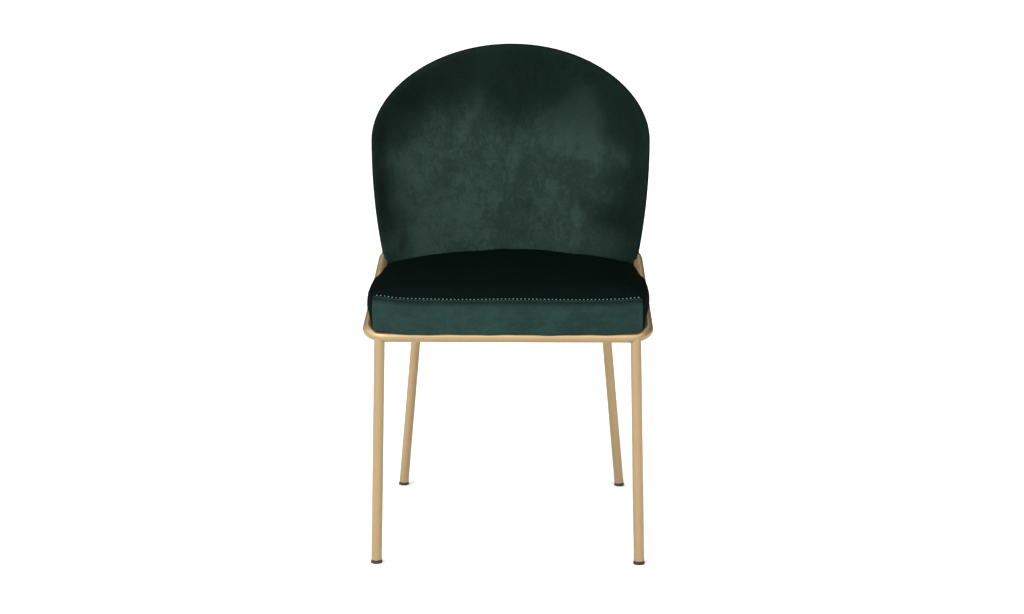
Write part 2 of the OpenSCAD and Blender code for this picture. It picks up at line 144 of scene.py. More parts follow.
def makeMesh(name, points, faces, materials, kinds=None):
    mesh = bpy.data.meshes.new(name)
    faceLists = faces.tolist() if hasattr(faces, "tolist") else faces
    mesh.from_pydata(np.asarray(points, float).tolist(), [], faceLists)
    for material in materials:
        mesh.materials.append(material)
    if kinds is not None:
        mesh.polygons.foreach_set("material_index", np.asarray(kinds, np.int32))
    work = bmesh.new()
    work.from_mesh(mesh)
    bmesh.ops.recalc_face_normals(work, faces=work.faces)
    work.to_mesh(mesh)
    work.free()
    mesh.polygons.foreach_set("use_smooth", np.ones(len(mesh.polygons), bool))
    mesh.update()
    piece = bpy.data.objects.new(name, mesh)
    bpy.context.scene.collection.objects.link(piece)
    return piece


def getPoints(piece):
    points = np.empty(len(piece.data.vertices) * 3, np.float32)
    piece.data.vertices.foreach_get("co", points)
    return points.reshape(-1, 3).astype(float)


def setPoints(piece, points):
    piece.data.vertices.foreach_set("co", points.astype(np.float32).ravel())
    piece.data.update()


def setShade(piece, name, values):
    shade = piece.data.attributes.new(name, "FLOAT", "POINT")
    shade.data.foreach_set("value", np.asarray(values, np.float32))


def addSubdivision(piece, levels):
    smooth = piece.modifiers.new("smooth", "SUBSURF")
    smooth.levels = smooth.render_levels = levels


def sweepTube(path, radius, sidesRound):
    # a round cord along a path: a circle of that radius across the path at each point, ends closed flat
    tangent = np.gradient(path, axis=0)
    tangent /= np.linalg.norm(tangent, axis=1)[:, None]
    across = np.cross(tangent, [0.0, 1.0, 0.0])
    across /= np.linalg.norm(across, axis=1)[:, None]
    other = np.cross(across, tangent)
    angle = np.linspace(0, 2 * np.pi, sidesRound, endpoint=False)
    circle = across[:, None] * np.cos(angle)[None, :, None] + other[:, None] * np.sin(angle)[None, :, None]
    points = (path[:, None] + radius * circle).reshape(-1, 3)
    k, m = np.meshgrid(np.arange(len(path) - 1), np.arange(sidesRound), indexing="ij")
    a, b = k * sidesRound + m, k * sidesRound + (m + 1) % sidesRound
    faces = np.stack([a, b, b + sidesRound, a + sidesRound], -1).reshape(-1, 4).tolist()
    faces.append(list(range(sidesRound)))
    faces.append(list(range(len(points) - sidesRound, len(points))))
    return points, faces


times, plus, sine = ({"operation": name} for name in ("MULTIPLY", "ADD", "SINE"))
blend = {"data_type": "RGBA"}      # a mix of two colours: factor 0, colours 6 and 7, result 2
smooth = {"interpolation_type": "SMOOTHSTEP"}


def newMaterial(name):
    material = bpy.data.materials.new(name)
    material.use_nodes = True
    tree = material.node_tree
    tree.nodes.clear()
    shader = addNode(tree, "ShaderNodeBsdfPrincipled")
    addNode(tree, "ShaderNodeOutputMaterial", None, {"Surface": shader.outputs["BSDF"]})
    place = addNode(tree, "ShaderNodeTexCoord").outputs["Object"]
    return material, tree, shader, place


velvet = {
    # size in mm, whether it is drawn out along the brushing, detail, distortion, roughness, low and high
    # end of the noise, and share of the whole
    "layers": (
        (85, True, 2.5, 0.6, 0.5, 0.28, 0.72, 0.48),    # where a hand has brushed the pile one way
        (18, True, 4, 0.9, 0.6, 0.30, 0.72, 0.34),      # small marks where it stands up
        (5, False, 3, 0.4, 0.6, 0.34, 0.66, 0.18),      # single tufts pressed flat
    ),
    "pileMm": 1.1,          # tufts of pile, drawn coarser than the real 0.3 mm so that they show
    "pileShare": 0.12,
    "sheenRoughness": 0.35,
    "bump": 0.00035,        # metres of relief in the pile
}


def velvetMaterial(name, dark, light, tint, sheen, streaks, contrast=1.0, useShadeAttribute=True):
    # Woven viscose velvet: random tones of the pile, with painted shade where the mesh's shade attribute is
    # low and a painted sheen where it is high
    material, tree, shader, place = newMaterial(name)
    drawn = addNode(tree, "ShaderNodeMapping", None, {"Vector": place, "Scale": streaks}).outputs["Vector"]
    lie = 0.0
    for sizeMm, drawnOut, detail, distortion, roughness, low, high, share in velvet["layers"]:
        noise = addNode(tree, "ShaderNodeTexNoise", None, {
            "Vector": drawn if drawnOut else place, "Scale": 1000 / sizeMm, "Detail": detail,
            "Distortion": distortion,
            "Roughness": roughness}).outputs["Fac"]
        spread = addNode(tree, "ShaderNodeMapRange", smooth, {
            "Value": noise, "From Min": low, "From Max": high, "To Max": share}).outputs["Result"]
        lie = addNode(tree, "ShaderNodeMath", plus, {0: lie, 1: spread}).outputs[0]
    lie = addNode(tree, "ShaderNodeMapRange", smooth, {
        "Value": lie, "From Min": 0.5 - 0.5 / contrast, "From Max": 0.5 + 0.5 / contrast}).outputs["Result"]
    if useShadeAttribute:
        # painted shade and sheen: half the mesh's shade attribute, and half of it again times the noise
        shadeAndNap = addNode(tree, "ShaderNodeAttribute", {"attribute_name": "shadeAndNap"}).outputs["Fac"]
        halfShade = addNode(tree, "ShaderNodeMath", times, {0: shadeAndNap, 1: 0.5}).outputs[0]
        lie = addNode(tree, "ShaderNodeMath", times, {0: lie, 1: halfShade}).outputs[0]
        lie = addNode(tree, "ShaderNodeMath", plus, {0: lie, 1: halfShade}).outputs[0]
    base = addNode(tree, "ShaderNodeMix", blend, {0: lie, 6: dark, 7: light}).outputs[2]
    pile = addNode(tree, "ShaderNodeTexNoise", None, {
        "Vector": place, "Scale": 1000 / velvet["pileMm"], "Detail": 2, "Roughness": 0.5}).outputs["Fac"]
    tuft = addNode(tree, "ShaderNodeMapRange", smooth, {
        "Value": pile, "From Min": 0.3, "From Max": 0.7, "To Max": velvet["pileShare"]}).outputs["Result"]
    base = addNode(tree, "ShaderNodeMix", blend, {0: tuft, 6: base, 7: tint}).outputs[2]
    tree.links.new(base, shader.inputs["Base Color"])
    relief = addNode(tree, "ShaderNodeBump", None, {
        "Height": pile, "Distance": velvet["bump"], "Strength": 0.55}).outputs["Normal"]
    tree.links.new(relief, shader.inputs["Normal"])
    shader.inputs["Roughness"].default_value = 0.92
    shader.inputs["Specular IOR Level"].default_value = 0.012
    shader.inputs["Sheen Weight"].default_value = sheen
    shader.inputs["Sheen Roughness"].default_value = velvet["sheenRoughness"]
    shader.inputs["Sheen Tint"].default_value = tint
    return material


# one velvet in several tones: the near-black seat top and the paler front band are painted shade and painted
# sheen, and the back's colours are mixed by its painted shade attribute
velvetShadedTop = velvetMaterial("velvetTopPaintedShade", toLinear("#000302"), toLinear("#040D0A"),
                           toLinear("#07140F"), 0.006, (1, 0.6, 1))
velvetLitBand = velvetMaterial("velvetBandPaintedSheen", toLinear("#060E0C"), toLinear("#213330"),
                            toLinear("#2B433F"), 0.015, (0.7, 1, 1))
velvetBack = velvetMaterial("velvetBackShaded", toLinear("#010604"), toLinear("#25342F"),
                            toLinear("#2E423A"), 0.008, (1, 1, 0.75), 1.55)
# near-black piping: painted shade where the edge rounds away
velvetPipingShade = velvetMaterial("velvetPipingShade", toLinear("#010403"), toLinear("#040B08"),
                              toLinear("#07120E"), 0.008, (1, 1, 1), useShadeAttribute=False)


def lacquerMaterial():
    # Steel tube in champagne metallic lacquer, satin: broad soft highlights with a faint grain of flake
    material, tree, shader, place = newMaterial("champagneLacquer")
    flake, film = (addNode(tree, "ShaderNodeTexNoise", None, {
        "Vector": place, "Scale": 1000 / sizeMm, "Detail": 2, "Roughness": 0.5}).outputs["Fac"]
        for sizeMm in (0.5, 45))
    grain = addNode(tree, "ShaderNodeMapRange", smooth, {
        "Value": flake, "From Min": 0.3, "From Max": 0.7}).outputs["Result"]
    cloudy = addNode(tree, "ShaderNodeMapRange", smooth, {
        "Value": film, "From Min": 0.35, "From Max": 0.7, "To Max": 0.2}).outputs["Result"]
    gloss = addNode(tree, "ShaderNodeMapRange", smooth, {
        "Value": film, "From Min": 0.3, "From Max": 0.7, "To Min": 0.34, "To Max": 0.40}).outputs["Result"]
    base = addNode(tree, "ShaderNodeMix", blend, {
        0: grain, 6: toLinear("#937D5B"), 7: toLinear("#988260")}).outputs[2]
    base = addNode(tree, "ShaderNodeMix", blend, {0: cloudy, 6: base, 7: toLinear("#8F7755")}).outputs[2]
    tree.links.new(base, shader.inputs["Base Color"])
    tree.links.new(gloss, shader.inputs["Roughness"])
    relief = addNode(tree, "ShaderNodeBump", None, {
        "Height": flake, "Distance": 0.000004, "Strength": 0.15}).outputs["Normal"]
    tree.links.new(relief, shader.inputs["Normal"])
    shader.inputs["Metallic"].default_value = 0.7
    shader.inputs["Coat Weight"].default_value = 0.08
    shader.inputs["Coat Roughness"].default_value = 0.16
    return material


def plainMaterial(name, first, second, sizeMm, roughness, metallic=0.0, relief=0.0, detail=4):
    # two close tones in lumps of sizeMm, with the same lumps as relief and as a change of gloss
    material, tree, shader, place = newMaterial(name)
    lumps = addNode(tree, "ShaderNodeTexNoise", None, {
        "Vector": place, "Scale": 1000 / sizeMm, "Detail": detail, "Roughness": 0.5}).outputs["Fac"]
    tone = addNode(tree, "ShaderNodeMapRange", smooth, {
        "Value": lumps, "From Min": 0.3, "From Max": 0.7}).outputs["Result"]
    gloss = addNode(tree, "ShaderNodeMapRange", smooth, {
        "Value": lumps, "From Min": 0.3, "From Max": 0.7,
        "To Min": roughness - 0.06, "To Max": roughness + 0.06}).outputs["Result"]
    base = addNode(tree, "ShaderNodeMix", blend, {
        0: tone, 6: toLinear(first), 7: toLinear(second)}).outputs[2]
    tree.links.new(base, shader.inputs["Base Color"])
    tree.links.new(gloss, shader.inputs["Roughness"])
    if relief:
        bump = addNode(tree, "ShaderNodeBump", None, {"Height": lumps, "Distance": relief, "Strength": 0.6})
        tree.links.new(bump.outputs["Normal"], shader.inputs["Normal"])
    shader.inputs["Metallic"].default_value = metallic
    return material


def plywoodMaterial():
    # Rotary-cut birch plywood: pale faces with long cathedral grain, darker glue lines between the veneers
    material, tree, shader, place = newMaterial("birchPlywood")
    drawn = addNode(tree, "ShaderNodeMapping", None, {
        "Vector": place, "Scale": (1, 0.08, 1)}).outputs["Vector"]
    grain = addNode(tree, "ShaderNodeTexNoise", None, {
        "Vector": drawn, "Scale": 1000 / 9, "Detail": 5, "Distortion": 1.2, "Roughness": 0.5}).outputs["Fac"]
    figure = addNode(tree, "ShaderNodeMapRange", smooth, {
        "Value": grain, "From Min": 0.35, "From Max": 0.65}).outputs["Result"]
    face = addNode(tree, "ShaderNodeMix", blend, {
        0: figure, 6: toLinear("#C9A878"), 7: toLinear("#DDC49A")}).outputs[2]
    # a glue line every 2.4 mm of height
    height = addNode(tree, "ShaderNodeSeparateXYZ", None, {"Vector": place}).outputs["Z"]
    turns = addNode(tree, "ShaderNodeMath", times, {0: height, 1: 2 * math.pi / 0.0024}).outputs[0]
    plies = addNode(tree, "ShaderNodeMath", sine, {0: turns}).outputs[0]
    glue = addNode(tree, "ShaderNodeMapRange", smooth, {
        "Value": plies, "From Min": 0.7, "From Max": 1.0, "To Max": 0.35}).outputs["Result"]
    edge = addNode(tree, "ShaderNodeMix", blend, {0: glue, 6: face, 7: toLinear("#8A6A44")}).outputs[2]
    tree.links.new(edge, shader.inputs["Base Color"])
    relief = addNode(tree, "ShaderNodeBump", None, {
        "Height": grain, "Distance": 0.0001, "Strength": 0.5}).outputs["Normal"]
    tree.links.new(relief, shader.inputs["Normal"])
    shader.inputs["Roughness"].default_value = 0.6
    return material


lacquer = lacquerMaterial()
# Injection-moulded polyethylene: black, low sheen, with the fine texture of the mould
capPlastic = plainMaterial("mouldedPolyethylene", "#121212", "#1C1C1B", 1.2, 0.5, relief=0.00005)
# Powder-coated steel: matt black with a slight orange peel
powderCoat = plainMaterial("powderCoatedSteel", "#1B1C1D", "#262728", 1.6, 0.55, relief=0.00006)
# Bright zinc plate: cool grey, a little patchy where the passivation varies
zincPlate = plainMaterial("zincPlatedSteel", "#A9ADB0", "#C3C4BF", 3.0, 0.32, metallic=1.0)
# Spunbonded polypropylene: thin black felt of bonded fibres, quite matt
spunbond = plainMaterial("spunbondedCloth", "#0D0D0E", "#1D1D1F", 1.4, 0.9, relief=0.0001)
# Polyester sewing thread: smooth, a shade paler than the velvet it holds
thread = plainMaterial("polyesterThread", "#55665D", "#6E8077", 0.8, 0.5, relief=0.00004)
plywood = plywoodMaterial()

slotMaterials = {"frame_tube": lacquer, "foot_cap": capPlastic, "under_seat_steel": powderCoat,
                 "fixing": zincPlate, "plywood": plywood, "velvet": velvetBack, "piping": velvetPipingShade,
                 "foam": spunbond, "wadding": spunbond, "dust_cloth": spunbond}
for part in frame["record"]["subparts"]:
    node = frame["nodes"][part["node"]]
    node.data.materials.clear()
    node.data.materials.append(slotMaterials[part["material_slot"]])
print("materials made")

ringLow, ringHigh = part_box("ring_front")
coverLow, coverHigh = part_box("seat_boxing_cover")
boardLow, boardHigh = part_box("seat_board")
weltLow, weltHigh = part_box("back_edge_welt")
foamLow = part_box("back_front_foam")[0]
rearLow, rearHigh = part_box("back_rear_cover")

ring = {
    "tubeRadius": 0.009,
    "tilt": math.radians(12.1),
    "bend": 0.035,         # radius of the front corners
}
barY = ringLow.y + ring["tubeRadius"]          # front bar's centre
barZ = ringLow.z + ring["tubeRadius"]
ringHalf = ringHigh.x - ring["tubeRadius"]


def ringHeight(y):
    # height of the ring's centre line at depth y: it climbs evenly from the front bar
    return barZ + (y - barY) * math.tan(ring["tilt"])


def offRing(points, clearance):
    # moves any point that is inside the ring's tube out to its surface, straight away from the centre line
    cosTilt, sinTilt = math.cos(ring["tilt"]), math.sin(ring["tilt"])
    u = points[..., 0]
    dy, dz = points[..., 1] - barY, points[..., 2] - barZ
    v, n = dy * cosTilt + dz * sinTilt, -dy * sinTilt + dz * cosTilt
    corner = ringHalf - ring["bend"]
    du, dv = np.abs(u) - corner, v - ring["bend"]
    reach = np.maximum(np.hypot(du, dv), 1e-6)
    inBend = (du > 0) & (dv < 0)
    nearU = np.where(inBend, corner + du / reach * ring["bend"], np.where(dv >= 0, ringHalf, np.abs(u)))
    nearV = np.where(inBend, ring["bend"] + dv / reach * ring["bend"], np.where(dv >= 0, v, 0))
    nearU = nearU * np.where(u < 0, -1, 1)
    away = np.stack([u - nearU, v - nearV, n], -1)
    distance = np.maximum(np.linalg.norm(away, axis=-1), 1e-6)
    wanted = np.maximum(distance, ring["tubeRadius"] + clearance)
    away = away * (wanted / distance)[..., None]
    u2, v2, n2 = nearU + away[..., 0], nearV + away[..., 1], away[..., 2]
    return np.stack([u2, barY + v2 * cosTilt - n2 * sinTilt, barZ + v2 * sinTilt + n2 * cosTilt], -1)


seat = {
    "grid": 73,            # points along each side of the top
    "crowding": 1.6,
    "frontEdge": 0.4555,    # height of the top seam at the front
    "rearCorner": 0.0055,  # how much higher it is at the rear corners
    "rearMiddle": 0.0095,  # and in the middle of the rear
    "crown": 0.0115,
    "cover": 0.00135,
    "frontPuff": 0.0016,
    "seamDip": 0.0009,
    "seamIn": 0.0035,
    "wallRows": 16,
    "halfSpan": 0.215,     # from the middle to the edge, for distances from the edge
    "uneven": 0.0009,
    "cornerRise": 0.0068,  # the band's lower edge climbs to its corners
}
back = {
    "radius": 0.305,       # plan radius of the front face
    "rake": math.radians(9),
    "plyTighter": 0.012,
    "foam": 0.0215,
    "ply": 0.009,
    "wadding": 0.005,
    "cover": 0.0015,
    "topGap": 0.005,       # the face's level is this far above the seat's side edge
    "halfSpan": 0.21,
    "frontRoll": 0.013,    # the front pad's edge rolls over in this width, and the rear pad's in less
    "rearRoll": 0.009,
}
cosRake, tanRake = math.cos(back["rake"]), math.tan(back["rake"])
faceZ = boardHigh.z + 0.039 + back["topGap"]


def leaningSurface(x, z, radius, axisY):
    # depth of a leaning cylinder's rear side: axis depth + sqrt(radius^2 - x^2) / cos(rake), plus the lean
    # with height
    return axisY + np.sqrt(np.maximum(radius ** 2 - x ** 2, 1e-6)) / cosRake + tanRake * (z - faceZ)


plyFrontRadius = back["radius"] - back["plyTighter"]
rearRadius = plyFrontRadius + back["ply"] + back["wadding"] + back["cover"]
# the rear cover's deepest point is at the top of the back in the middle, which gives the plywood's axis
plyAxisY = rearHigh.y - rearRadius / cosRake - tanRake * (rearHigh.z - faceZ)
faceAxisY = plyAxisY - (back["foam"] - plyFrontRadius) / cosRake - back["radius"] / cosRake
print("back axis at", round(faceAxisY, 4), round(plyAxisY, 4))

seatHalf = coverHigh.x
frontY = coverLow.y
boardTop = boardHigh.z
skirtZ = coverLow.z

# how far the sides swell over the ring, by distance behind the front edge
swellAt = np.array([0.0, 0.012, 0.03, 0.06, 0.11, 0.16, 0.21, 0.24, 0.262, 0.30, 0.335, 0.45])
swellBy = np.array([4.6, 8.6, 13.2, 18.2, 21.6, 22.0, 20.4, 14.6, 11.4, 10.0, 9.6, 8.4]) / 1000


def sideSwell(y, share):
    return np.interp(y - frontY, swellAt, swellBy) * share


def topLevel(x, y):
    # height of the seam: level in front, rising to the rear, most in the middle
    rear = smoothStep(y, frontY + 0.16, frontY + 0.42)
    middle = np.clip(1 - (x / seatHalf) ** 2, 0, 1)
    peaks = 0.0065 * np.exp(-((x + seatHalf) / 0.035) ** 2) + 0.003 * np.exp(-((x - seatHalf) / 0.03) ** 2)
    peaks = peaks * np.exp(-((y - frontY) / 0.05) ** 2) + 0.0006 * np.sin(36 * x + 1.0)
    return seat["frontEdge"] + peaks + rear * (seat["rearCorner"] + seat["rearMiddle"] * middle)


def unevenness(x, y, scale):
    # slow ripples that never repeat: four sines at unlike angles
    return scale * (np.sin(31 * x + 17 * y + 0.7) + np.sin(-23 * x + 41 * y + 2.1)
                    + 0.6 * np.sin(57 * x - 38 * y + 4.0) + 0.4 * np.sin(88 * x + 71 * y + 1.3)) / 3


def seatLoop():
    steps = np.linspace(-1, 1, 41)
    rearX = (seatHalf + 0.001) * steps[::-1]
    rearY = leaningSurface(rearX, 0.452, back["radius"], faceAxisY) - 0.0012
    sideEnd = rearY[0]
    front = [(-seatHalf, frontY), (seatHalf, frontY)]
    right = [(seatHalf, frontY), (rearX[0], sideEnd)]
    rear = np.stack([rearX, rearY], 1)
    left = [(-x, y) for x, y in right[::-1]]
    return closedLoop([front, right, rear, left], seat["grid"])


def makeSeat():
    count = seat["grid"]
    loop = seatLoop()
    centre = np.array([0, (frontY + loop[:, 1].max()) / 2])
    plan, ringShare = spreadIn(loop, centre, count, seat["crowding"])
    x, y = plan[..., 0], plan[..., 1]
    stretched = x * (1 + sideSwell(y, 0.80) / seatHalf)
    fromEdge = (1 - ringShare) * seat["halfSpan"]
    z = topLevel(x, y) + seat["crown"] * np.clip(1 - ringShare ** 3, 0, 1) ** 0.9
    z = z - seat["seamDip"] * np.exp(-((fromEdge - seat["seamIn"]) / 0.0018) ** 2)
    z = z + unevenness(x, y, seat["uneven"]) * smoothStep(fromEdge, 0.004, 0.05)
    top = np.stack([stretched, y, z], -1)

    normals = mitreNormals(loop)
    lx, ly = loop[:, 0], loop[:, 1]
    topZ = topLevel(lx, ly)
    wavy = 0.0007 * np.sin(57 * lx + 0.6) + 0.0004 * np.sin(133 * lx + 2.2)
    climbing = seat["cornerRise"] * np.clip((np.abs(lx) - 0.14) / (seatHalf - 0.14), 0, 1) ** 2
    low = np.where(ly < frontY + 0.2, skirtZ - 0.0004 + wavy + climbing, boardLow.z)
    # over the ring's front corners the band stops on top of the tube
    probe = np.stack([lx, ly, ringHeight(ly)], -1)
    shifted = offRing(probe, 0.0008)
    overTube = np.linalg.norm(shifted - probe, axis=1) > 1e-7
    near = ring["tubeRadius"] + 0.0008 - np.linalg.norm(shifted - probe, axis=1)
    rise = np.sqrt(np.maximum((ring["tubeRadius"] + 0.0008) ** 2 - near ** 2, 0))
    low = np.where(overTube, np.maximum(low, ringHeight(ly) + rise), low)
    share = np.linspace(0, 1, seat["wallRows"] + 1)[1:] ** 1.15
    walls = []
    frontness = np.where(np.abs(ly - frontY) < 1e-6, 1 - (np.abs(lx) / seatHalf) ** 10, 0)
    for q in share:
        wallZ = topZ + (low - topZ) * q
        climb = np.clip((wallZ - ringHeight(ly)) / np.maximum(topZ - ringHeight(ly), 0.004), 0, 1)
        swell = np.interp(climb, [0, 0.25, 0.55, 0.8, 1], [0.12, 0.68, 1.0, 0.97, 0.80])
        under = smoothStep(wallZ, ringHeight(ly) - 0.02, ringHeight(ly) + 0.004)
        wallX = lx * (1 + sideSwell(ly, swell * under) / seatHalf)
        wallY = ly - frontness * (seat["frontPuff"] * math.sin(math.pi * min(q * 1.05, 1)) ** 0.7
                                  + 0.0005 * np.sin(34 * lx + 5 * q + 0.8))
        walls.append(np.stack([wallX, wallY, wallZ], -1))
    inner = loop - normals * seat["cover"]
    for level in (low + 0.0002, np.maximum(low + 0.0004, (low + boardTop) / 2)):
        walls.append(np.stack([inner[:, 0], inner[:, 1], level], -1))
    walls = np.array(walls)
    under, _ = spreadIn(inner, centre, count, seat["crowding"])
    bottom = np.concatenate([under, np.full((count, count, 1), boardTop + 0.0002)], -1)

    outer = np.arange(len(walls)) < len(share)
    walls[outer] = offRing(walls[outer], 0.0004)
    top = offRing(top, 0.0004)
    # painted shade: the front wall takes the paler band velvet, the sides and rear the near-black top velvet
    sideKinds = np.concatenate([np.ones(count - 1), np.zeros(3 * (count - 1))])
    piece = closedForm("seatCushion", top, walls, bottom, sideKinds, [velvetShadedTop, velvetLitBand])
    return piece, outer.sum()


seatCushion, outerRows = makeSeat()
seatCount = seat["grid"]
seatPoints = getPoints(seatCushion)
topCount = seatCount * seatCount
around = 4 * (seatCount - 1)
print("seat cushion:", len(seatPoints), "points")


filling = {
    "pressure": 4.0,
    "frames": 20,
    "cap": 0.006,          # no point moves further than this
    "topShare": 0.45,      # shares of the move that are kept
    "wallShare": 0.25,
    "massKg": 0.3,
    "stiffness": 12,
    "bending": 0.6,
}


def inflate(piece, held, share):
    # the cover is blown up like a filled case: cloth with pressure and no gravity for 20 frames, held
    # where it is stapled; the move is capped and a share of it kept
    start = getPoints(piece)
    twin = piece.copy()
    twin.data = piece.data.copy()
    bpy.context.scene.collection.objects.link(twin)
    group = twin.vertex_groups.new(name="held")
    group.add([int(i) for i in np.nonzero(held)[0]], 1.0, "REPLACE")
    cloth = twin.modifiers.new("cloth", "CLOTH")
    cloth.settings.use_pressure = True
    cloth.settings.uniform_pressure_force = filling["pressure"]
    cloth.settings.effector_weights.gravity = 0
    cloth.settings.vertex_group_mass = "held"
    cloth.settings.quality = 5
    cloth.settings.mass = filling["massKg"]
    cloth.settings.tension_stiffness = cloth.settings.compression_stiffness = filling["stiffness"]
    cloth.settings.bending_stiffness = filling["bending"]
    cloth.point_cache.frame_start, cloth.point_cache.frame_end = 1, filling["frames"]
    for step in range(1, filling["frames"] + 1):
        bpy.context.scene.frame_set(step)
    shaped = twin.evaluated_get(bpy.context.evaluated_depsgraph_get())
    moved = np.empty(len(start) * 3, np.float32)
    shaped.data.vertices.foreach_get("co", moved)
    move = moved.reshape(-1, 3) - start
    bpy.data.objects.remove(twin)
    bpy.context.scene.frame_set(1)
    length = np.maximum(np.linalg.norm(move, axis=1), 1e-9)
    move *= (np.minimum(length, filling["cap"]) / length)[:, None] * share[:, None]
    return start + move, float(length.max())


held = np.zeros(len(seatPoints), bool)
held[topCount + (outerRows - 1) * around:] = True
share = np.full(len(seatPoints), filling["topShare"])
share[topCount:] = filling["wallShare"]
puffed, furthest = inflate(seatCushion, held, share)
outerEnd = topCount + outerRows * around
puffed[:outerEnd] = offRing(puffed[:outerEnd], 0.0004)
setPoints(seatCushion, puffed)
seatPoints = puffed
print("seat cushion filled, furthest", round(furthest, 4))

# painted shade and sheen: the top is dark, paler towards its front edge, and the front is pale once it is
# round the seam, darker towards the right
paintedShadeTop = 0.30 + 0.55 * smoothStep(-seatPoints[:, 1], -frontY - 0.10, -frontY)
below = topLevel(seatPoints[:, 0], np.full(len(seatPoints), frontY)) - seatPoints[:, 2]
paintedShadeFront = 0.10 + (0.85 - 0.14 * smoothStep(seatPoints[:, 0], -0.05, 0.22)) * smoothStep(below, 0.003, 0.014)
shadeAndNap = np.where(np.arange(len(seatPoints)) < topCount, paintedShadeTop, paintedShadeFront)
setShade(seatCushion, "shadeAndNap", shadeAndNap)
addSubdivision(seatCushion, 1)
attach(seatCushion, "root")
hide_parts("seat_foam", "seat_wadding", "seat_top_cover", "seat_boxing_cover")

# top stitching along the cushion's front edge
stitch = {
    "length": 0.0028,
    "pitch": 0.0064,
    "radius": 0.00075,
    "sides": 6,
    "lift": 0.0002,
}


def seamPath(ringIn):
    # points of the top grid a few rings in from the front edge
    run = np.arange(ringIn, seatCount - ringIn)
    return seatPoints[ringIn * seatCount + run]


def makeStitches():
    path = resample(seamPath(3), 4000)
    run = np.linalg.norm(np.diff(path, axis=0), axis=1).sum()
    count = int(run / stitch["pitch"])
    middle = resample(path, count * 2 + 1)
    centre, ahead = middle[1::2], middle[2::2] - middle[:-2:2]
    ahead /= np.linalg.norm(ahead, axis=1)[:, None]
    side = np.cross(ahead, [0, 0, 1.0])
    side /= np.linalg.norm(side, axis=1)[:, None]
    up = np.cross(side, ahead)
    # each stitch is a tapered rod whose ends dive into the cloth
    along = np.array([-0.5, -0.38, 0.0, 0.38, 0.5]) * stitch["length"]
    girth = np.array([0.35, 0.9, 1.0, 0.9, 0.35]) * stitch["radius"]
    dive = np.array([-1.2, -0.2, 0.3, -0.2, -1.2]) * stitch["radius"]
    angle = np.linspace(0, 2 * np.pi, stitch["sides"], endpoint=False)
    local = np.stack([
        np.repeat(along, stitch["sides"]),
        (girth[:, None] * np.cos(angle)).ravel(),
        (girth[:, None] * np.sin(angle) + dive[:, None]).ravel() + stitch["lift"]], 1)
    axes = np.stack([ahead, side, up], 1)
    points = (centre[:, None] + np.einsum("pk,nkc->npc", local, axes)).reshape(-1, 3)
    ringsMade = len(along)
    k, m = np.meshgrid(np.arange(ringsMade - 1), np.arange(stitch["sides"]), indexing="ij")
    a, b = k * stitch["sides"] + m, k * stitch["sides"] + (m + 1) % stitch["sides"]
    quads = np.stack([a, b, b + stitch["sides"], a + stitch["sides"]], -1).reshape(-1, 4)
    each = len(local)
    faces = (quads[None] + (np.arange(count) * each)[:, None, None]).reshape(-1, 4).tolist()
    cap = np.arange(stitch["sides"])
    ends = np.concatenate([cap[None], cap[None] + each - stitch["sides"]])
    faces += (ends[None] + (np.arange(count) * each)[:, None, None]).reshape(-1, stitch["sides"]).tolist()
    return makeMesh("seatStitching", points, faces, [thread])


seatStitching = makeStitches()
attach(seatStitching, "root")
print("stitching done")

outlineOf = {
    "half": weltHigh.x,                # widest half width
    "wideZ": weltHigh.z - 0.164,       # height where it is widest
    "dome": 0.164,
    "sideRadius": 1.2,
    "leastHalf": seatHalf + 0.0024,    # half width at the very bottom, round the plywood
    "pipingEnd": weltLow.z,            # the piping stops where the back comes down on the ring
    "welt": 0.004,
}
backGrid = 61


def backLoop(inset, leastHalf, bottom):
    # bottom edge, right side, half ellipse and left side, in x and z: the side is a long arc that narrows
    # downwards, but never to less than leastHalf
    o = outlineOf
    half = o["half"] - inset
    z = np.linspace(bottom, o["wideZ"], 60)
    sideX = np.maximum(half - (o["wideZ"] - z) ** 2 / (2 * o["sideRadius"]), leastHalf)
    turn = np.linspace(0, math.pi / 2, 60)
    domeX, domeZ = half * np.cos(turn), o["wideZ"] + (o["dome"] - inset) * np.sin(turn)
    right = np.concatenate([np.stack([sideX, z], 1), np.stack([domeX, domeZ], 1)[1:]])
    whole = np.concatenate([right, right[-2::-1] * [-1, 1]])
    # the square's corners fall at the bottom corners and part way up the dome
    run = np.concatenate([[0], np.cumsum(np.linalg.norm(np.diff(whole, axis=0), axis=1))])
    cuts = run[-1] * np.array([0, 0.40, 0.60, 1])
    sides = [np.stack([np.linspace(-sideX[0], sideX[0], backGrid), np.full(backGrid, bottom)], 1)]
    for first, last in zip(cuts[:-1], cuts[1:]):
        at = np.linspace(first, last, backGrid)
        sides.append(np.stack([np.interp(at, run, whole[:, k]) for k in (0, 1)], 1))
    return np.concatenate([side[:-1] for side in sides])


backCentre = np.array([0.0, outlineOf["wideZ"] - 0.03])


def plyFront(x, z):
    return leaningSurface(x, z, plyFrontRadius, plyAxisY)


def plyRear(x, z):
    return leaningSurface(x, z, plyFrontRadius + back["ply"], plyAxisY)


def frontFace(x, z):
    return leaningSurface(x, z, back["radius"], faceAxisY)


def rearFace(x, z):
    return leaningSurface(x, z, rearRadius, plyAxisY)


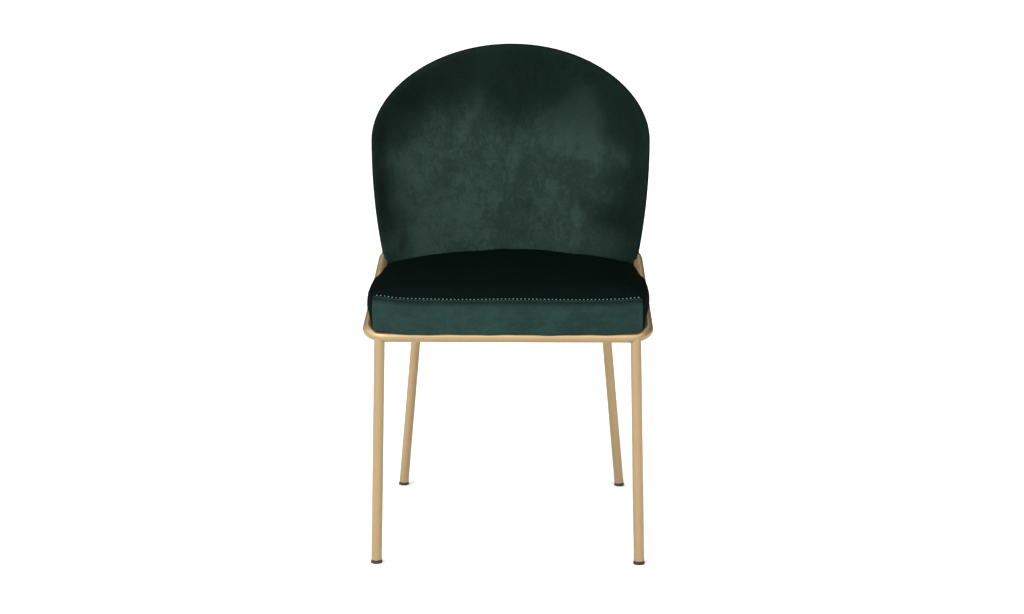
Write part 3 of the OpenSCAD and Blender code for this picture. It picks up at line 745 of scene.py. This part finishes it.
def makeFrontPad():
    # foam and front cover: full depth inside, rolling over in a quarter ellipse to the plywood at its
    # edge, and pressed hollow where its lower corners lie against the ring
    loop = backLoop(0, outlineOf["leastHalf"], foamLow.z)
    plan, ringShare = spreadIn(loop, backCentre, backGrid, 1.6)
    x, z = plan[..., 0], plan[..., 1]
    fromEdge = (1 - ringShare) * back["halfSpan"]
    roll = np.sqrt(np.clip(1 - (1 - np.clip(fromEdge / back["frontRoll"], 0, 1)) ** 2, 0, 1))
    rest = plyFront(x, z) + 0.0006
    full = frontFace(x, z)
    # the filling is a little fuller in the middle of the lower half
    fuller = 0.003 * np.exp(-(x / 0.16) ** 2 - ((z - 0.62) / 0.13) ** 2) * smoothStep(fromEdge, 0.01, 0.09)
    full = full - fuller + unevenness(x, z, 0.0011) * smoothStep(fromEdge, 0.01, 0.06)
    y = rest - (rest - full) * (0.10 + 0.90 * roll)
    face = offRing(np.stack([x, y, z], -1), 0.0004)
    edge = offRing(np.stack([loop[:, 0], plyFront(loop[:, 0], loop[:, 1]) - 0.0004, loop[:, 1]], -1), 0.0006)
    rear = offRing(np.stack([x, plyFront(x, z) - 0.0002, z], -1), 0.0008)
    return closedForm("backFrontPad", face, edge[None], rear, np.zeros(len(loop)), [velvetBack, velvetPipingShade])


def makeRearPad():
    # wadding and rear cover: it wraps round the plywood's edge, and is hollow where the plywood lies
    loop = backLoop(0.0003, outlineOf["leastHalf"], rearLow.z)
    inner = backLoop(outlineOf["welt"] - 0.0003, outlineOf["leastHalf"] - 0.0022, rearLow.z + 0.0012)
    plan, ringShare = spreadIn(loop, backCentre, backGrid, 1.6)
    x, z = plan[..., 0], plan[..., 1]
    fromEdge = (1 - ringShare) * back["halfSpan"]
    roll = np.sqrt(np.clip(1 - (1 - np.clip(fromEdge / back["rearRoll"], 0, 1)) ** 2, 0, 1))
    start = plyFront(x, z) + 0.0060
    full = rearFace(x, z) + unevenness(x, z, 0.0006) * smoothStep(fromEdge, 0.01, 0.06)
    face = offRing(np.stack([x, start + (full - start) * roll, z], -1), 0.0004)
    rows = [np.stack([loop[:, 0], plyFront(loop[:, 0], loop[:, 1]) + depth, loop[:, 1]], -1)
            for depth in (0.0045, 0.0030)]
    rows = [offRing(row, 0.0004) for row in rows]
    rows.append(offRing(np.stack([inner[:, 0], plyFront(inner[:, 0], inner[:, 1]) + 0.0030, inner[:, 1]], -1),
                        0.0012))
    hollow, _ = spreadIn(inner, backCentre, backGrid, 1.6)
    hx, hz = hollow[..., 0], hollow[..., 1]
    bottom = offRing(np.stack([hx, plyRear(hx, hz) + 0.0003, hz], -1), 0.0012)
    return closedForm("backRearPad", face, np.array(rows), bottom, np.zeros(len(loop)),
                      [velvetBack, velvetPipingShade])


backShadeLayout = {
    "paleTo": 0.655,        # painted shade: pale up to this height, and dark above "darkFrom"
    "darkFrom": 0.772,
    "sideFrom": 0.16,      # and from this far out to the sides
    "sideTo": 0.238,
    "least": 0.10,
    "marks": (             # darker patches, those at the side edges painted shade: x, height, half width, half height, how much
        (0.02, 0.745, 0.022, 0.035, 0.55),
        (0.130, 0.715, 0.032, 0.042, 0.40),
        (0.192, 0.72, 0.022, 0.055, 0.70),
        (0.180, 0.535, 0.030, 0.018, 0.60),
        (0.148, 0.560, 0.030, 0.013, 0.40),
        (-0.197, 0.492, 0.014, 0.024, 0.55),
        (0.226, 0.64, 0.012, 0.060, 0.65),
        (-0.236, 0.60, 0.011, 0.110, 0.70),
        (0.03, 0.552, 0.016, 0.012, 0.30),
    ),
}


def paintedBackShade(x, z):
    # painted shade: the value falls away towards the top, the sides and the right, times (1 - much * e^-d^2)
    # for each mark
    b = backShadeLayout
    wander = 0.018 * np.sin(29 * x + 1.0) + 0.010 * np.sin(67 * x + 2.0)
    high = 1 - smoothStep(z + wander, b["paleTo"], b["darkFrom"])
    drift = 0.012 * np.sin(37 * z) + 0.008 * np.sin(83 * z + 1.2)
    inside = 1 - smoothStep(np.abs(x + 0.012) + drift, b["sideFrom"], b["sideTo"])
    value = (0.04 + 0.96 * high) * (0.15 + 0.85 * inside) * (1 - 0.12 * smoothStep(x, -0.1, 0.2))
    for atX, atZ, halfX, halfZ, much in b["marks"]:
        value = value * (1 - much * np.exp(-((x - atX) / halfX) ** 2 - ((z - atZ) / halfZ) ** 2))
    return np.clip(b["least"] + (1 - b["least"]) * value, 0, 1)


backFrontPad = makeFrontPad()
backRearPad = makeRearPad()
for piece, replaced in ((backFrontPad, ("back_front_foam", "back_front_cover")),
                        (backRearPad, ("back_rear_wadding", "back_rear_cover"))):
    points = getPoints(piece)
    setShade(piece, "shadeAndNap", paintedBackShade(points[:, 0], points[:, 2]))
    addSubdivision(piece, 1)
    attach(piece, "root")
    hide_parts(*replaced)
print("back pads done")


def makePiping():
    # cord sewn round the edge between the two covers, down to where the back meets the ring
    loop = backLoop(0.0012, outlineOf["leastHalf"], rearLow.z)
    keep = loop[backGrid - 1:]
    keep = keep[keep[:, 1] > outlineOf["pipingEnd"] - 0.006]
    path = np.stack([keep[:, 0], plyFront(keep[:, 0], keep[:, 1]) - 0.0012, keep[:, 1]], -1)
    path = resample(offRing(path, 0.0029), 420)
    points, faces = sweepTube(path, 0.0026, 12)
    return makeMesh("backPiping", points, faces, [velvetPipingShade])


backPiping = makePiping()
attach(backPiping, "root")
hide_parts("back_edge_welt")

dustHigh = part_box("dust_cover")[1]
dust = {"grid": 61, "thickness": 0.0004, "sag": 0.0011}


def makeDustCover():
    # a flat cloth with the seat's outline, hanging a little between the steel bars it passes over
    loop = seatLoop()
    loop = loop - mitreNormals(loop) * 0.0022
    centre = np.array([0, (frontY + loop[:, 1].max()) / 2])
    count = dust["grid"]
    share = np.arange(count * 4 - 4) * (len(loop) / (4 * (count - 1)))
    ends = np.concatenate([loop, loop[:1]])
    coarse = np.stack([np.interp(share, np.arange(len(ends)), ends[:, k]) for k in (0, 1)], -1)
    plan, ringShare = spreadIn(coarse, centre, count, 1.0)
    x, y = plan[..., 0], plan[..., 1]
    free = smoothStep(1 - ringShare, 0.12, 0.5)
    bearers = smoothStep(np.abs(np.abs(x) - 0.105), 0.014, 0.03)
    brackets = smoothStep(np.abs(np.abs(x) - 0.06), 0.014, 0.022) + smoothStep(-y, -0.08, -0.05)
    sag = dust["sag"] * free * bearers * np.clip(brackets, 0, 1)
    z = dustHigh.z - 0.0001 - sag
    flatPoints = np.stack([x, y, z], -1).reshape(-1, 3)
    i, j = np.meshgrid(np.arange(count - 1), np.arange(count - 1), indexing="ij")
    a = (i * count + j).ravel()
    faces = np.stack([a, a + 1, a + count + 1, a + count], 1)
    piece = makeMesh("dustCoverCloth", flatPoints, faces, [spunbond])
    sheet = piece.modifiers.new("thickness", "SOLIDIFY")
    sheet.thickness = dust["thickness"]
    sheet.offset = -1
    # the outline's area: half the sum of x times the next y less the next x times y
    ahead = np.roll(coarse, -1, axis=0)
    area = 0.5 * abs(np.sum(coarse[:, 0] * ahead[:, 1] - ahead[:, 0] * coarse[:, 1]))
    return piece, float(area), float(np.ptp(coarse[:, 0])), float(np.ptp(coarse[:, 1]))


dustCover, dustArea, dustWide, dustLong = makeDustCover()
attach(dustCover, "root")
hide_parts("dust_cover")
print("dust cover done")

floorMaterial, floorTree, floorShader, floorPlace = newMaterial("paintedFloor")
floorShader.inputs["Roughness"].default_value = 0.9
floorNoise = addNode(floorTree, "ShaderNodeTexNoise", None, {
    "Vector": floorPlace, "Scale": 1000 / 900, "Detail": 2, "Roughness": 0.5}).outputs["Fac"]
floorCloud = addNode(floorTree, "ShaderNodeMapRange", smooth, {
    "Value": floorNoise, "From Min": 0.3, "From Max": 0.7}).outputs["Result"]
floorTone = addNode(floorTree, "ShaderNodeMix", blend, {
    0: floorCloud, 6: toLinear("#E4E4E3"), 7: toLinear("#E6E6E5")}).outputs[2]
floorTree.links.new(floorTone, floorShader.inputs["Base Color"])
floorSize = 90.0
corners = np.array([(-1, -1, 0), (1, -1, 0), (1, 1, 0), (-1, 1, 0)], float) * floorSize
floor = makeMesh("floor", corners + [0, 0, -0.0002], [[0, 1, 2, 3]], [floorMaterial])

world = bpy.data.worlds.new("studio")
world.use_nodes = True
bpy.context.scene.world = world
studio = {
    "towards": (-0.42, -0.70, 0.58),   # the bright side of the room
    "from": -0.35,                     # cosine to the bright side where it starts to lighten
    "to": 0.95,
    "dim": 0.03,
    "bright": 3.0,
}
background = world.node_tree.nodes["Background"]
direction = addNode(world.node_tree, "ShaderNodeTexCoord").outputs["Generated"]
facing = addNode(world.node_tree, "ShaderNodeVectorMath", {"operation": "DOT_PRODUCT"},
                 {0: direction, 1: studio["towards"]}).outputs["Value"]
strength = addNode(world.node_tree, "ShaderNodeMapRange", smooth, {
    "Value": facing, "From Min": studio["from"], "From Max": studio["to"],
    "To Min": studio["dim"], "To Max": studio["bright"]}).outputs["Result"]
world.node_tree.links.new(strength, background.inputs["Strength"])
background.inputs["Color"].default_value = toLinear("#FFFFFF")

softboxes = (
    # place, aim, width, height, watts
    ((-1.7, -2.2, 2.3), (0, 0, 0.5), 1.2, 1.2, 34),
    ((2.0, -1.6, 1.9), (0, 0, 0.5), 1.2, 1.6, 9),
    ((0.0, 1.8, 2.6), (0, 0, 0.5), 2.0, 1.0, 14),
)
for number, (place, aim, width, height, watts) in enumerate(softboxes):
    light = bpy.data.lights.new(f"softbox{number}", "AREA")
    light.shape = "RECTANGLE"
    light.size, light.size_y, light.energy = width, height, watts
    lamp = bpy.data.objects.new(f"softbox{number}", light)
    bpy.context.scene.collection.objects.link(lamp)
    lamp.location = place
    towards = np.array(aim) - np.array(place)
    lamp.rotation_euler = (math.atan2(math.hypot(towards[0], towards[1]), -towards[2]), 0,
                           math.atan2(towards[1], towards[0]) - math.pi / 2)

eye = {"place": (0.0451, -2.9538, 0.9801), "down": 11.26, "turn": 0.80, "lens": 59.06}
cameraData = bpy.data.cameras.new("camera")
cameraData.lens = eye["lens"]
cameraData.sensor_width = 36
cameraData.clip_end = 300
camera = bpy.data.objects.new("camera", cameraData)
bpy.context.scene.collection.objects.link(camera)
camera.location = eye["place"]
camera.rotation_euler = (math.radians(90 - eye["down"]), 0, math.radians(eye["turn"]))
bpy.context.scene.camera = camera
bpy.context.scene.view_settings.view_transform = "Standard"
